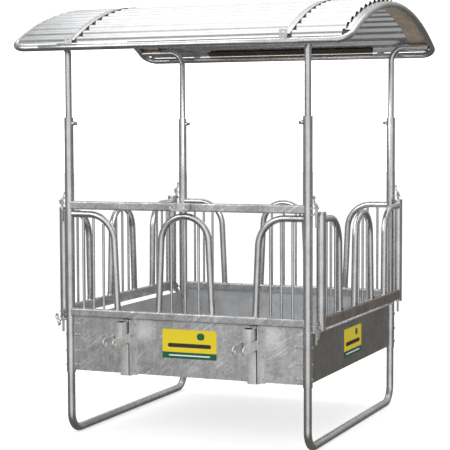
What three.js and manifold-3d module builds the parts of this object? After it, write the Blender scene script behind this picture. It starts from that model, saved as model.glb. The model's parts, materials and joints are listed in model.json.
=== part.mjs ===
// Square round-bale feeder of galvanised steel with a roof, eight feed places and three-point brackets.
// Millimetres, +Z up, front side facing -Y. Every part is drawn about the middle of the four corner
// posts, and the whole group is then shifted so that its box stands centred on the origin.
import * as THREE from 'three';
import { mergeVertices } from 'three/addons/utils/BufferGeometryUtils.js';
import Module from 'manifold-3d';

const wasm = await Module();
wasm.setup();

// ---------------------------------------------------------------- driving dimensions
const POST = { x: 826, y: 900, radius: 30.15, wall: 2.9, bottom: 413, top: 2085, sides: 12 };
const LEG = { radius: 25.4, wall: 2.9, top: 700, bend: 115, bendSteps: 5, sides: 12 };
const UPRIGHT = { radius: 21.2, wall: 2.6, bottom: 1500, bend: 100, tailZ: 2587, sides: 8 };
const ARCH = { radius: 21.2, wall: 2.6, sides: 8 };
const BAR_RADIUS = 8.5;
const GAP = 0.5;

const TROUGH = { bottom: 427, frontTop: 783, sideTop: 765, sheet: 3, flange: 40, sideFlange: 28 };
const LIP = { out: 35, down: 25 };
const STRIP = { near: 28, far: 75, offset: 2, thick: 4, bottom: 440, top: 740 };

const RAIL = { depth: 50, wall: 3, bottom: 784, top: 835, topRailBottom: 1487, topRailTop: 1539 };
const FRONT_ARCH = { top: 1455, legFoot: 185, legTop: 165, halfFoot: 480, halfCorner: 508, halfBend: 180 };
const FRONT_BARS = { full: [-95, 0, 95], half: [580, 652, 727] };

const GATE = { x: 896, tubeY: 850, bottom: 775, top: 1485, railBottom: 778, railTop: 843, railWidth: 40 };
const GATE_ARCH = { top: 1450, legFoot: 190, legTop: 165, halfFoot: 490, halfCorner: 508, halfBend: 180 };
const GATE_BARS = { full: [-95, 0, 95], half: [578, 666, 753] };

const PIN = { out: 56, radius: 8, hole: 9.2, collar: 12.5, collarHeight: 8, shank: 14, length: 122 };
const LUG = { radius: 16, thick: 6, heights: [757, 796, 1480, 1522] };
const EYE = { radius: 15.5, topLow: 1485, topHigh: 1497, bottomLow: 762.5, bottomHigh: 775, slot: 18 };
const VENT_RADIUS = 10;

const CLAMP = { z: 2046, boss: 13, bossLength: 13, hole: 9.4, shaft: 8, head: 13, headFrom: 46, headTo: 58 };

const ROOF = { shift: -31, halfLength: 1148, halfWidth: 1012, radius: 1981, eaveZ: 2534 };
const ROOF_CORNER = 93;
const STUB = { left: 200, right: 300 };
const SPIGOT = { radius: 17, wall: 3, neck: 7, insert: 60 };
const END_STRIP = { inner: 1998, thick: 3, width: 140, overlap: 17 };
const SHEET = { pitch: 95.45, depth: 18, thick: 1.5, lift: 1.7, endGap: 21, edge: 12, seam: 0.8 };
const STRAP = { positions: [-704, 764], width: 40, thick: 3, lift: 1, steps: 24, edge: 13 };
const STRAP_PLATE = { width: 52, height: 54, thick: 4, hole: 8, offset: -22, y: 1024, bottom: 2553 };

const HITCH = {
  positions: [-412, 472], mastWidth: 60, mastDepth: 45, wall: 4, mastBottom: 420,
  socketDepth: 80, socketBottom: 628, socketTop: 774, earThick: 9, earHoleY: -1148, earHoleZ: 657,
  earRadius: 29, earRear: -925, earRearLow: 638, earRearHigh: 700, pinHole: 14,
  angleDepth: 48, angleThick: 5, angleWidth: 32,
};
const TOP_LINK = { halfGap: 44, thick: 8, plate: 6, holeY: -1000, holeZ: 1509, hole: 12.75, radius: 21 };

const roofCentreZ = ROOF.eaveZ - Math.sqrt(ROOF.radius ** 2 - ROOF.halfWidth ** 2);
const roofHalfArc = ROOF.radius * Math.asin(ROOF.halfWidth / ROOF.radius);
const postFace = POST.radius + GAP;
const railHalf = POST.x - postFace;
const sheetBase = END_STRIP.inner + END_STRIP.thick + SHEET.lift;
const sheetCrest = sheetBase + SHEET.depth + SHEET.thick;
const frontReach = HITCH.earHoleY - HITCH.earRadius;
const rearReach = ROOF.halfWidth + ARCH.radius;

// ---------------------------------------------------------------- materials
const FINISHES = {
  tube: [0xb9bdbf, 0.42],
  sheet: [0x9a9da0, 0.5],
  roofSheet: [0xd5d8da, 0.45],
  cast: [0xa8acae, 0.5],
  pin: [0xc3c6c8, 0.35],
};

function finish(name) {
  const [color, roughness] = FINISHES[name];
  return new THREE.MeshStandardMaterial({ color, roughness, metalness: 0.9 });
}

// ---------------------------------------------------------------- geometry helpers
const V = (x, y, z) => new THREE.Vector3(x, y, z);

// A path whose rings stand exactly at the points it is given.
class Route extends THREE.Curve {
  constructor(points) {
    super();
    this.points = points;
  }

  getPoint(t, target = new THREE.Vector3()) {
    const span = t * (this.points.length - 1);
    const i = Math.min(Math.floor(span + 1e-9), this.points.length - 2);
    return target.lerpVectors(this.points[i], this.points[i + 1], span - i);
  }

  getPointAt(u, target) {
    return this.getPoint(u, target);
  }

  getTangentAt(u) {
    const last = this.points.length - 1;
    const i = Math.round(u * last);
    const sum = V(0, 0, 0);
    if (i > 0) sum.add(this.points[i].clone().sub(this.points[i - 1]).normalize());
    if (i < last) sum.add(this.points[i + 1].clone().sub(this.points[i]).normalize());
    return sum.normalize();
  }
}

function polygon(radius, sides) {
  const points = [];
  for (let k = 0; k < sides; k++) {
    const angle = ((k + 0.5) * 2 * Math.PI) / sides;
    points.push(new THREE.Vector2(radius * Math.cos(angle), radius * Math.sin(angle)));
  }
  return points;
}

function ring(outer, wall, sides) {
  const shape = new THREE.Shape(polygon(outer, sides));
  if (wall > 0) shape.holes.push(new THREE.Path(polygon(outer - wall, sides)));
  return shape;
}

function rectangle(x0, y0, x1, y1) {
  return [[x0, y0], [x1, y0], [x1, y1], [x0, y1]].map(([x, y]) => new THREE.Vector2(x, y));
}

// Extrudes an outline of the X-Y plane upwards from z0 to z1.
function rise(shape, z0, z1) {
  const geometry = new THREE.ExtrudeGeometry(shape, { depth: z1 - z0, bevelEnabled: false });
  return geometry.translate(0, 0, z0);
}

// Extrudes an outline drawn in the Y-Z plane along X from x0 to x1.
function alongX(shape, x0, x1) {
  const turn = new THREE.Matrix4().makeBasis(V(0, 1, 0), V(0, 0, 1), V(1, 0, 0));
  return rise(shape, x0, x1).applyMatrix4(turn);
}

// Extrudes an outline drawn in the X-Z plane along Y from y0 to y1.
function alongY(shape, y0, y1) {
  const turn = new THREE.Matrix4().makeBasis(V(1, 0, 0), V(0, 0, 1), V(0, -1, 0));
  return rise(shape, -y1, -y0).applyMatrix4(turn);
}

function block(x0, x1, y0, y1, z0, z1) {
  const low = V(Math.min(x0, x1), Math.min(y0, y1), Math.min(z0, z1));
  const high = V(Math.max(x0, x1), Math.max(y0, y1), Math.max(z0, z1));
  const size = high.clone().sub(low);
  const middle = low.add(high).multiplyScalar(0.5);
  return new THREE.BoxGeometry(size.x, size.y, size.z).translate(middle.x, middle.y, middle.z);
}

function sweep(points, outer, wall, sides) {
  const options = { steps: points.length - 1, extrudePath: new Route(points), bevelEnabled: false };
  return new THREE.ExtrudeGeometry(ring(outer, wall, sides), options);
}

// The centre line of a bent tube: straight runs with each inner corner rounded to the bend radius.
function bent(corners, radius, steps) {
  const points = [corners[0]];
  for (let i = 1; i < corners.length - 1; i++) {
    const back = corners[i - 1].clone().sub(corners[i]).normalize();
    const ahead = corners[i + 1].clone().sub(corners[i]).normalize();
    const half = back.angleTo(ahead) / 2;
    const middle = back.clone().add(ahead).normalize();
    const centre = corners[i].clone().addScaledVector(middle, radius / Math.sin(half));
    const first = corners[i].clone().addScaledVector(back, radius / Math.tan(half)).sub(centre);
    const last = corners[i].clone().addScaledVector(ahead, radius / Math.tan(half)).sub(centre);
    const axis = first.clone().cross(last).normalize();
    const turn = first.angleTo(last);
    for (let k = 0; k <= steps; k++) {
      points.push(first.clone().applyAxisAngle(axis, (turn * k) / steps).add(centre));
    }
  }
  points.push(corners[corners.length - 1]);
  return points;
}

function toSolid(geometry) {
  const bare = geometry.clone();
  bare.deleteAttribute('normal');
  bare.deleteAttribute('uv');
  const merged = mergeVertices(bare);
  const vertProperties = new Float32Array(merged.attributes.position.array);
  const triVerts = new Uint32Array(merged.index.array);
  const mesh = new wasm.Mesh({ numProp: 3, vertProperties, triVerts });
  return new wasm.Manifold(mesh);
}

function toGeometry(solid) {
  const mesh = solid.getMesh();
  const geometry = new THREE.BufferGeometry();
  geometry.setAttribute('position', new THREE.BufferAttribute(mesh.vertProperties, 3));
  geometry.setIndex(new THREE.BufferAttribute(mesh.triVerts, 1));
  geometry.computeVertexNormals();
  return geometry;
}

function join(pieces, cuts = []) {
  let solid = toSolid(pieces[0]);
  for (const piece of pieces.slice(1)) solid = solid.add(toSolid(piece));
  for (const piece of cuts) solid = solid.subtract(toSolid(piece));
  return toGeometry(solid);
}

const feeder = new THREE.Group();
feeder.position.set(-ROOF.shift, -(frontReach + rearReach) / 2, 0);

function add(parent, name, geometry, finishName, position = V(0, 0, 0), turnZ = 0) {
  const mesh = new THREE.Mesh(geometry, finish(finishName));
  mesh.name = name;
  mesh.position.copy(position);
  mesh.rotation.z = turnZ;
  parent.add(mesh);
}

const SIDES = [['left', -1], ['right', 1]];
const ENDS = [['front', -1], ['rear', 1]];

// ---------------------------------------------------------------- corner posts
// A flat lug that starts inside the post wall and ends in a half circle about the pin hole.
function lugOutline(side) {
  const shape = new THREE.Shape();
  shape.moveTo(side * 20, -LUG.radius);
  shape.lineTo(side * PIN.out, -LUG.radius);
  const from = -Math.PI / 2;
  for (let k = 1; k < 6; k++) {
    const angle = from + (Math.PI * k) / 6;
    shape.lineTo(side * (PIN.out + LUG.radius * Math.cos(angle)), LUG.radius * Math.sin(angle));
  }
  shape.lineTo(side * PIN.out, LUG.radius);
  shape.lineTo(side * 20, LUG.radius);
  shape.closePath();
  return shape;
}

function post(sideX, sideY) {
  const pieces = [rise(ring(POST.radius, 0, POST.sides), POST.bottom, POST.top)];
  for (const z of LUG.heights) {
    pieces.push(rise(lugOutline(sideX), z - LUG.thick / 2, z + LUG.thick / 2));
  }
  const inner = STRIP.offset;
  const outer = STRIP.offset + STRIP.thick;
  pieces.push(block(-sideX * STRIP.near, -sideX * STRIP.far, sideY * inner, sideY * outer,
    STRIP.bottom, STRIP.top));
  pieces.push(block(-sideX * inner, -sideX * outer, -sideY * STRIP.near, -sideY * STRIP.far,
    STRIP.bottom, STRIP.top));
  const bossEnd = POST.radius + CLAMP.bossLength;
  const boss = new THREE.CylinderGeometry(CLAMP.boss, CLAMP.boss, bossEnd, 10).rotateZ(Math.PI / 2);
  pieces.push(boss.translate((-sideX * bossEnd) / 2, 0, CLAMP.z));
  const bore = rise(ring(POST.radius - POST.wall, 0, POST.sides), POST.bottom - 5, POST.top + 5);
  const cuts = [bore];
  const lugSpan = LUG.heights[3] + LUG.thick;
  const pinHole = new THREE.CylinderGeometry(PIN.hole, PIN.hole, lugSpan - POST.bottom, 10);
  cuts.push(pinHole.rotateX(Math.PI / 2).translate(sideX * PIN.out, 0, (lugSpan + POST.bottom) / 2));
  const screwHole = new THREE.CylinderGeometry(CLAMP.hole, CLAMP.hole, 2 * bossEnd, 10);
  cuts.push(screwHole.rotateZ(Math.PI / 2).translate(-sideX * bossEnd, 0, CLAMP.z));
  return join(pieces, cuts);
}

for (const [side, sideX] of SIDES) {
  for (const [end, sideY] of ENDS) {
    const place = V(sideX * POST.x, sideY * POST.y, 0);
    add(feeder, `post_${end}_${side}`, post(sideX, sideY), 'tube', place);
  }
}

// ---------------------------------------------------------------- leg frames
// One bent tube a side: two legs that telescope into the posts and a skid run on the ground. The
// rings where the run starts and ends lean by a quarter of a bend step, which sets its lowest face.
const skidZ = LEG.radius * Math.cos(Math.PI / LEG.sides) * Math.cos(Math.PI / (8 * LEG.bendSteps));

function legFrame() {
  const corners = [V(0, -POST.y, LEG.top), V(0, -POST.y, skidZ), V(0, POST.y, skidZ), V(0, POST.y, LEG.top)];
  return sweep(bent(corners, LEG.bend, LEG.bendSteps), LEG.radius, LEG.wall, LEG.sides);
}

for (const [side, sideX] of SIDES) {
  add(feeder, `leg_frame_${side}`, legFrame(), 'tube', V(sideX * POST.x, 0, 0));
}

// ---------------------------------------------------------------- trough
const half = TROUGH.sheet / 2;

// A sheet wall with its lower edge folded inwards; side is the direction that faces out.
function wallOutline(side, plane, top, flange) {
  const inner = side * (plane - half);
  const outer = side * (plane + half);
  const fold = side * (plane - half - flange);
  const floor = TROUGH.bottom + TROUGH.sheet;
  return [[outer, TROUGH.bottom], [outer, top], [inner, top], [inner, floor], [fold, floor],
    [fold, TROUGH.bottom]];
}

function toShape(points) {
  return new THREE.Shape(points.map(([x, y]) => new THREE.Vector2(x, y)));
}

for (const [end, sideY] of ENDS) {
  const outline = wallOutline(sideY, POST.y, TROUGH.frontTop, TROUGH.flange);
  add(feeder, `trough_${end}_sheet`, alongX(toShape(outline), -railHalf, railHalf), 'sheet');
}

for (const [side, sideX] of SIDES) {
  const outline = wallOutline(sideX, POST.x, TROUGH.sideTop, TROUGH.sideFlange);
  const lipX = sideX * (POST.x + half + LIP.out);
  const lip = [[lipX, TROUGH.sideTop - LIP.down], [lipX, TROUGH.sideTop - LIP.down + TROUGH.sheet]];
  const root = [sideX * (POST.x + half), TROUGH.sideTop - TROUGH.sheet];
  outline.splice(1, 0, root, ...lip);
  const reach = POST.y - postFace;
  add(feeder, `trough_${side}_sheet`, alongY(toShape(outline), -reach, reach), 'sheet');
}

function floorOutline() {
  const x = POST.x - half - GAP;
  const y = POST.y - half - GAP;
  const notch = 36;
  const corner = [[x, POST.y - notch], [POST.x - notch, POST.y - notch], [POST.x - notch, y]];
  const points = [];
  for (const [sx, sy, order] of [[1, 1, 1], [-1, 1, -1], [-1, -1, 1], [1, -1, -1]]) {
    const quarter = corner.map(([px, py]) => [sx * px, sy * py]);
    points.push(...(order > 0 ? quarter : quarter.reverse()));
  }
  return points;
}

const floorZ = TROUGH.bottom + TROUGH.sheet + GAP;
add(feeder, 'trough_floor', rise(toShape(floorOutline()), floorZ, floorZ + TROUGH.sheet), 'sheet');

// ---------------------------------------------------------------- fixed rails
function boxTube(halfDepth, low, high, wall) {
  const shape = new THREE.Shape(rectangle(-halfDepth, low, halfDepth, high));
  shape.holes.push(new THREE.Path(rectangle(-halfDepth + wall, low + wall, halfDepth - wall, high - wall)));
  return shape;
}

for (const [end, sideY] of ENDS) {
  const rail = alongX(boxTube(RAIL.depth / 2, RAIL.bottom, RAIL.top, RAIL.wall), -railHalf, railHalf);
  add(feeder, `${end}_bottom_rail`, rail, 'tube', V(0, sideY * POST.y, 0));
}
const topRail = alongX(boxTube(RAIL.depth / 2, RAIL.topRailBottom, RAIL.topRailTop, RAIL.wall),
  -railHalf, railHalf);
add(feeder, 'front_top_rail', topRail, 'tube', V(0, -POST.y, 0));

// ---------------------------------------------------------------- feed arches
// Both kinds of arch are drawn in the X-Z plane and stand on a rail whose top is at foot.
function bar(x, foot, top) {
  return rise(ring(BAR_RADIUS, 0, 6), foot, top).translate(x, 0, 0);
}

// Height of the inside of a bend of the given centre-line radius, above the bend's centre.
const archFace = ARCH.radius * Math.cos(Math.PI / ARCH.sides);

function insideHeight(bendRadius, offset) {
  return Math.sqrt(Math.max((bendRadius - archFace) ** 2 - offset ** 2, 0));
}

// The leaning legs are drawn a little too long and then cut off level with the rail.
const TRIM = 8;

function sawCut(foot) {
  return block(-POST.x, POST.x, -2 * ARCH.radius, 2 * ARCH.radius, foot - 3 * TRIM, foot);
}

function fullArch(shape, foot, barPlaces) {
  const springZ = shape.top - shape.legTop;
  const points = [V(-shape.legFoot, 0, foot - TRIM)];
  const steps = 8;
  for (let k = 0; k <= steps; k++) {
    const angle = Math.PI * (1 - k / steps);
    points.push(V(shape.legTop * Math.cos(angle), 0, springZ + shape.legTop * Math.sin(angle)));
  }
  points.push(V(shape.legFoot, 0, foot - TRIM));
  const pieces = [sweep(points, ARCH.radius, ARCH.wall, ARCH.sides)];
  for (const x of barPlaces) {
    const reach = Math.max(Math.abs(x) - BAR_RADIUS, 0);
    pieces.push(bar(x, foot, springZ + insideHeight(shape.legTop, reach) + 1.5));
  }
  return join(pieces, [sawCut(foot)]);
}

function halfArch(shape, foot, side, start, barPlaces) {
  const corners = [V(side * start, 0, shape.top), V(side * shape.halfCorner, 0, shape.top),
    V(side * shape.halfFoot, 0, foot - TRIM)];
  const pieces = [sweep(bent(corners, shape.halfBend, 4), ARCH.radius, ARCH.wall, ARCH.sides)];
  const centreX = shape.halfCorner + shape.halfBend;
  const centreZ = shape.top - shape.halfBend;
  for (const x of barPlaces) {
    const reach = Math.max(centreX - x - BAR_RADIUS, 0);
    pieces.push(bar(side * x, foot, centreZ + insideHeight(shape.halfBend, reach) + 1.5));
  }
  return join(pieces, [sawCut(foot)]);
}

const fixedFoot = RAIL.top + GAP;
for (const [end, sideY] of ENDS) {
  const place = V(0, sideY * POST.y, 0);
  add(feeder, `${end}_arch_middle`, fullArch(FRONT_ARCH, fixedFoot, FRONT_BARS.full), 'tube', place);
  for (const [side, sideX] of SIDES) {
    const arch = halfArch(FRONT_ARCH, fixedFoot, sideX, railHalf, FRONT_BARS.half);
    add(feeder, `${end}_arch_${side}`, arch, 'tube', place);
  }
}

// ---------------------------------------------------------------- side gates
// The gate's plane stands outside the posts. Its rear eyes are closed round the hinge pins, and its
// front eyes are hooks that open towards the post, so the gate swings clear of the latch pins.
function eye(offsetX, offsetY, low, high, hooked) {
  const along = V(offsetX, offsetY, 0);
  const length = along.length();
  const tongue = block(0, length, -EYE.radius, EYE.radius, low, high);
  tongue.rotateZ(Math.atan2(offsetY, offsetX));
  const nose = rise(new THREE.Shape(polygon(EYE.radius, 12)), low, high).translate(offsetX, offsetY, 0);
  const cap = rise(ring(POST.radius, 0, POST.sides), low, high);
  const deep = 10;
  const hole = rise(new THREE.Shape(polygon(PIN.hole, 10)), low - deep, high + deep);
  const cuts = [hole.translate(offsetX, offsetY, 0)];
  if (hooked) {
    const mouth = offsetX + Math.sign(offsetX) * 2 * EYE.radius;
    cuts.push(block(offsetX, mouth, offsetY - EYE.slot / 2, offsetY + EYE.slot / 2, low - deep, high + deep));
  }
  return { pieces: [tongue, nose, cap], cuts };
}

function gateTube(sideX, sideY, hooked) {
  const offsetX = sideX * (POST.x + PIN.out - GATE.x);
  const offsetY = sideY * (POST.y - GATE.tubeY);
  const top = eye(offsetX, offsetY, EYE.topLow, EYE.topHigh, hooked);
  const bottom = eye(offsetX, offsetY, EYE.bottomLow, EYE.bottomHigh, hooked);
  const bite = 1;
  const tube = rise(ring(POST.radius, POST.wall, POST.sides), GATE.bottom - bite, GATE.top + bite);
  const vent = rise(new THREE.Shape(polygon(VENT_RADIUS, 8)), EYE.bottomLow - 5, EYE.bottomHigh + 5);
  return join([tube, ...top.pieces, ...bottom.pieces], [...top.cuts, ...bottom.cuts, vent]);
}

const gateFoot = GATE.railTop + GAP;
const gateReach = GATE.tubeY - postFace;
for (const [side, sideX] of SIDES) {
  const gate = new THREE.Group();
  gate.position.set(sideX * GATE.x, 0, 0);
  feeder.add(gate);
  for (const [end, sideY] of ENDS) {
    const tube = gateTube(sideX, sideY, end === 'front');
    add(gate, `${side}_gate_tube_${end}`, tube, 'tube', V(0, sideY * GATE.tubeY, 0));
    const arch = halfArch(GATE_ARCH, gateFoot, sideY, gateReach, GATE_BARS.half);
    add(gate, `${side}_gate_arch_${end}`, arch, 'tube', V(0, 0, 0), Math.PI / 2);
  }
  const rail = boxTube(GATE.railWidth / 2, GATE.railBottom, GATE.railTop, RAIL.wall);
  add(gate, `${side}_gate_rail`, alongY(rail, -gateReach, gateReach), 'tube');
  const middle = fullArch(GATE_ARCH, gateFoot, GATE_BARS.full);
  add(gate, `${side}_gate_arch_middle`, middle, 'tube', V(0, 0, 0), Math.PI / 2);
}

// ---------------------------------------------------------------- hinge and latch pins
// Each pin hangs by its collar on the upper lug of its pair.
function lockPin() {
  const profile = [[0, -PIN.length], [PIN.radius, -PIN.length], [PIN.radius, 0], [PIN.collar, 0],
    [PIN.collar, PIN.collarHeight], [PIN.radius, PIN.collarHeight],
    [PIN.radius, PIN.collarHeight + PIN.shank], [0, PIN.collarHeight + PIN.shank]];
  const points = profile.map(([r, z]) => new THREE.Vector2(r, z));
  return new THREE.LatheGeometry(points, 8).rotateX(Math.PI / 2);
}

for (const [side, sideX] of SIDES) {
  for (const [end, sideY] of ENDS) {
    const use = end === 'front' ? 'latch' : 'hinge';
    for (const [level, lug] of [['bottom', LUG.heights[1]], ['top', LUG.heights[3]]]) {
      const place = V(sideX * (POST.x + PIN.out), sideY * POST.y, lug + LUG.thick / 2 + 0.3);
      add(feeder, `${side}_gate_${use}_pin_${level}`, lockPin(), 'pin', place);
    }
  }
}

// ---------------------------------------------------------------- roof clamp screws
// A hexagon-head screw that goes through the boss and the post wall and bears on the roof upright.
function clampScrew(side) {
  const tip = UPRIGHT.radius + GAP;
  const shaft = new THREE.CylinderGeometry(CLAMP.shaft, CLAMP.shaft, CLAMP.headFrom - tip + 1, 8);
  shaft.rotateZ(Math.PI / 2).translate((side * (CLAMP.headFrom + 1 + tip)) / 2, 0, 0);
  const head = new THREE.CylinderGeometry(CLAMP.head, CLAMP.head, CLAMP.headTo - CLAMP.headFrom, 6);
  head.rotateZ(Math.PI / 2).translate((side * (CLAMP.headFrom + CLAMP.headTo)) / 2, 0, 0);
  return join([shaft, head]);
}

for (const [side, sideX] of SIDES) {
  for (const [end, sideY] of ENDS) {
    const place = V(sideX * POST.x, sideY * POST.y, CLAMP.z);
    add(feeder, `roof_clamp_screw_${end}_${side}`, clampScrew(-sideX), 'pin', place);
  }
}

// ---------------------------------------------------------------- roof
const roof = new THREE.Group();
roof.position.set(ROOF.shift, 0, 0);
feeder.add(roof);

function onRoof(x, arc, radius) {
  const angle = arc / ROOF.radius;
  return V(x, radius * Math.sin(angle), roofCentreZ + radius * Math.cos(angle));
}

// The end frame runs from one eave stub, round a corner, over the arch and into the other stub.
function endFrame(side, stub) {
  const flat = [[ROOF.halfLength - stub, -roofHalfArc]];
  const steps = 4;
  for (let k = 0; k <= steps; k++) {
    const angle = -Math.PI / 2 + (Math.PI / 2) * (k / steps);
    flat.push([ROOF.halfLength - ROOF_CORNER * (1 - Math.cos(angle)),
      -roofHalfArc + ROOF_CORNER * (1 + Math.sin(angle))]);
  }
  const run = roofHalfArc - ROOF_CORNER;
  const arcSteps = 14;
  for (let k = 1; k < arcSteps; k++) flat.push([ROOF.halfLength, -run + (2 * run * k) / arcSteps]);
  for (const [x, arc] of flat.slice(0, steps + 2).reverse()) flat.push([x, -arc]);
  const points = flat.map(([x, arc]) => onRoof(side * x, arc, ROOF.radius));
  return sweep(points, ARCH.radius, ARCH.wall, ARCH.sides);
}

// A curved band across the roof, between two radii, from x0 to x1.
function band(inner, outer, arcFrom, arcTo, steps, x0, x1) {
  const outline = [];
  for (let k = 0; k <= steps; k++) {
    const p = onRoof(0, arcFrom + ((arcTo - arcFrom) * k) / steps, outer);
    outline.push([p.y, p.z]);
  }
  for (let k = steps; k >= 0; k--) {
    const p = onRoof(0, arcFrom + ((arcTo - arcFrom) * k) / steps, inner);
    outline.push([p.y, p.z]);
  }
  return alongX(toShape(outline), Math.min(x0, x1), Math.max(x0, x1));
}

for (const [side, sideX] of SIDES) {
  const far = ROOF.halfLength - ARCH.radius + END_STRIP.overlap;
  const near = ROOF.halfLength - ARCH.radius - END_STRIP.width;
  const arc = roofHalfArc - ROOF_CORNER;
  const strip = band(END_STRIP.inner, END_STRIP.inner + END_STRIP.thick, -arc, arc, 16,
    sideX * near, sideX * far);
  add(roof, `roof_end_frame_${side}`, join([endFrame(sideX, STUB[side]), strip]), 'tube');
}

// The eave tube's reduced ends slip into the stubs of the two end frames.
const halfSpan = ROOF.halfLength - (STUB.left + STUB.right) / 2;

function eaveTube() {
  const end = halfSpan + SPIGOT.insert;
  const shoulder = halfSpan - SPIGOT.neck;
  const core = SPIGOT.radius - SPIGOT.wall;
  const bore = ARCH.radius - ARCH.wall;
  const inside = shoulder - 20;
  const rim = [[core, -end], [SPIGOT.radius, -end], [SPIGOT.radius, -shoulder], [ARCH.radius, -shoulder],
    [ARCH.radius, shoulder], [SPIGOT.radius, shoulder], [SPIGOT.radius, end], [core, end],
    [core, inside], [bore, inside], [bore, -inside], [core, -inside], [core, -end]];
  const points = rim.map(([r, along]) => new THREE.Vector2(r, along));
  return new THREE.LatheGeometry(points, 8).rotateZ(-Math.PI / 2);
}

for (const [end, sideY] of ENDS) {
  const place = V((STUB.left - STUB.right) / 2, sideY * ROOF.halfWidth, ROOF.eaveZ);
  add(roof, `eave_tube_${end}`, eaveTube(), 'tube', place);
}

// Half of the roof covering: corrugations run along X and follow one another across the arch, from
// the valley at the ridge to the valley over the eave.
function roofSheet(side) {
  const outerArc = roofHalfArc - SHEET.edge;
  const perPitch = 6;
  const count = Math.round((outerArc / SHEET.pitch) * perPitch);
  const lower = [];
  const upper = [];
  for (let k = 0; k <= count; k++) {
    const arc = SHEET.seam / 2 + ((outerArc - SHEET.seam / 2) * k) / count;
    const wave = 0.5 - 0.5 * Math.cos((2 * Math.PI * arc) / SHEET.pitch);
    const low = onRoof(0, side * arc, sheetBase + SHEET.depth * wave);
    const high = onRoof(0, side * arc, sheetBase + SHEET.depth * wave + SHEET.thick);
    lower.push([low.y, low.z]);
    upper.push([high.y, high.z]);
  }
  const length = ROOF.halfLength - ARCH.radius - SHEET.endGap;
  return alongX(toShape([...lower, ...upper.reverse()]), -length, length);
}

for (const [end, sideY] of ENDS) add(roof, `roof_sheet_${end}`, roofSheet(sideY), 'roofSheet');

// A flat strap over the crests, with an upright plate at each foot that takes the eave bolt.
function roofStrap() {
  const inner = sheetCrest + STRAP.lift;
  const arc = roofHalfArc - STRAP.edge;
  const pieces = [band(inner, inner + STRAP.thick, -arc, arc, STRAP.steps, -STRAP.width / 2,
    STRAP.width / 2)];
  const cuts = [];
  const p = STRAP_PLATE;
  for (const side of [-1, 1]) {
    pieces.push(block(p.offset - p.width / 2, p.offset + p.width / 2, side * p.y - p.thick / 2,
      side * p.y + p.thick / 2, p.bottom, p.bottom + p.height));
    const hole = new THREE.CylinderGeometry(p.hole, p.hole, 4 * p.thick, 8);
    cuts.push(hole.translate(p.offset, side * p.y, p.bottom + 0.6 * p.height));
  }
  return join(pieces, cuts);
}

for (const [i, [side]] of SIDES.entries()) {
  add(roof, `roof_strap_${side}`, roofStrap(), 'cast', V(STRAP.positions[i], 0, 0));
}

// The uprights slide in the posts and turn outwards at the top to meet the end frames.
for (const [side, sideX] of SIDES) {
  for (const [end, sideY] of ENDS) {
    const tail = sideX * (ROOF.halfLength - ARCH.radius - GAP) + ROOF.shift - sideX * POST.x;
    const corners = [V(0, 0, UPRIGHT.bottom), V(0, 0, UPRIGHT.tailZ), V(tail, 0, UPRIGHT.tailZ)];
    const tube = sweep(bent(corners, UPRIGHT.bend, 4), UPRIGHT.radius, UPRIGHT.wall, UPRIGHT.sides);
    const place = V(sideX * POST.x - ROOF.shift, sideY * POST.y, 0);
    add(roof, `roof_upright_${end}_${side}`, tube, 'tube', place);
  }
}

// ---------------------------------------------------------------- three-point brackets
function earOutline(holeY, holeZ, radius, rear, rearLow, rearHigh) {
  const shape = new THREE.Shape();
  shape.moveTo(rear, rearLow);
  const steps = 6;
  for (let k = 0; k <= steps; k++) {
    const angle = -Math.PI / 2 - (Math.PI * k) / steps;
    shape.lineTo(holeY + radius * Math.cos(angle), holeZ + radius * Math.sin(angle));
  }
  shape.lineTo(rear, rearHigh);
  shape.closePath();
  return shape;
}

// Lower link bracket: mast on the trough, open socket in front of it, two ears and a backing angle.
function lowerBracket() {
  const h = HITCH;
  const back = -(POST.y + half + GAP);
  const front = back - h.mastDepth;
  const socketFront = front - h.socketDepth;
  const halfMast = h.mastWidth / 2;
  const mast = block(-halfMast, halfMast, front, back, h.mastBottom, TROUGH.frontTop);
  const mastBore = block(-halfMast + h.wall, halfMast - h.wall, front + h.wall, back - h.wall,
    h.mastBottom - 5, TROUGH.frontTop + 5);
  const socket = block(-halfMast, halfMast, socketFront, front + 1, h.socketBottom, h.socketTop);
  const socketBore = block(-halfMast + h.wall, halfMast - h.wall, socketFront + h.wall, front - h.wall,
    h.socketBottom - 5, h.socketTop + 5);
  const pieces = [mast, socket];
  const cuts = [mastBore, socketBore];
  for (const side of [-1, 1]) {
    const ear = earOutline(h.earHoleY, h.earHoleZ, h.earRadius, h.earRear, h.earRearLow, h.earRearHigh);
    const inner = side * (halfMast - 0.5);
    const outer = side * (halfMast - 0.5 + h.earThick);
    pieces.push(alongX(ear, Math.min(inner, outer), Math.max(inner, outer)));
  }
  const width = 2 * (halfMast + h.earThick) + 10;
  const pinHole = new THREE.CylinderGeometry(h.pinHole, h.pinHole, width, 12).rotateZ(Math.PI / 2);
  cuts.push(pinHole.translate(0, h.earHoleY, h.earHoleZ));
  const legFrom = halfMast + h.earThick - 1;
  const legTo = legFrom + h.angleThick;
  pieces.push(block(legFrom, legTo, back - h.angleDepth, back, h.mastBottom, TROUGH.frontTop));
  pieces.push(block(legFrom, legTo + h.angleWidth, back - h.angleThick, back, h.mastBottom, TROUGH.frontTop));
  return join(pieces, cuts);
}

for (const [i, [side]] of SIDES.entries()) {
  const place = V(HITCH.positions[i], 0, 0);
  add(feeder, `lower_link_bracket_${side}`, lowerBracket(), 'cast', place);
}

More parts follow.
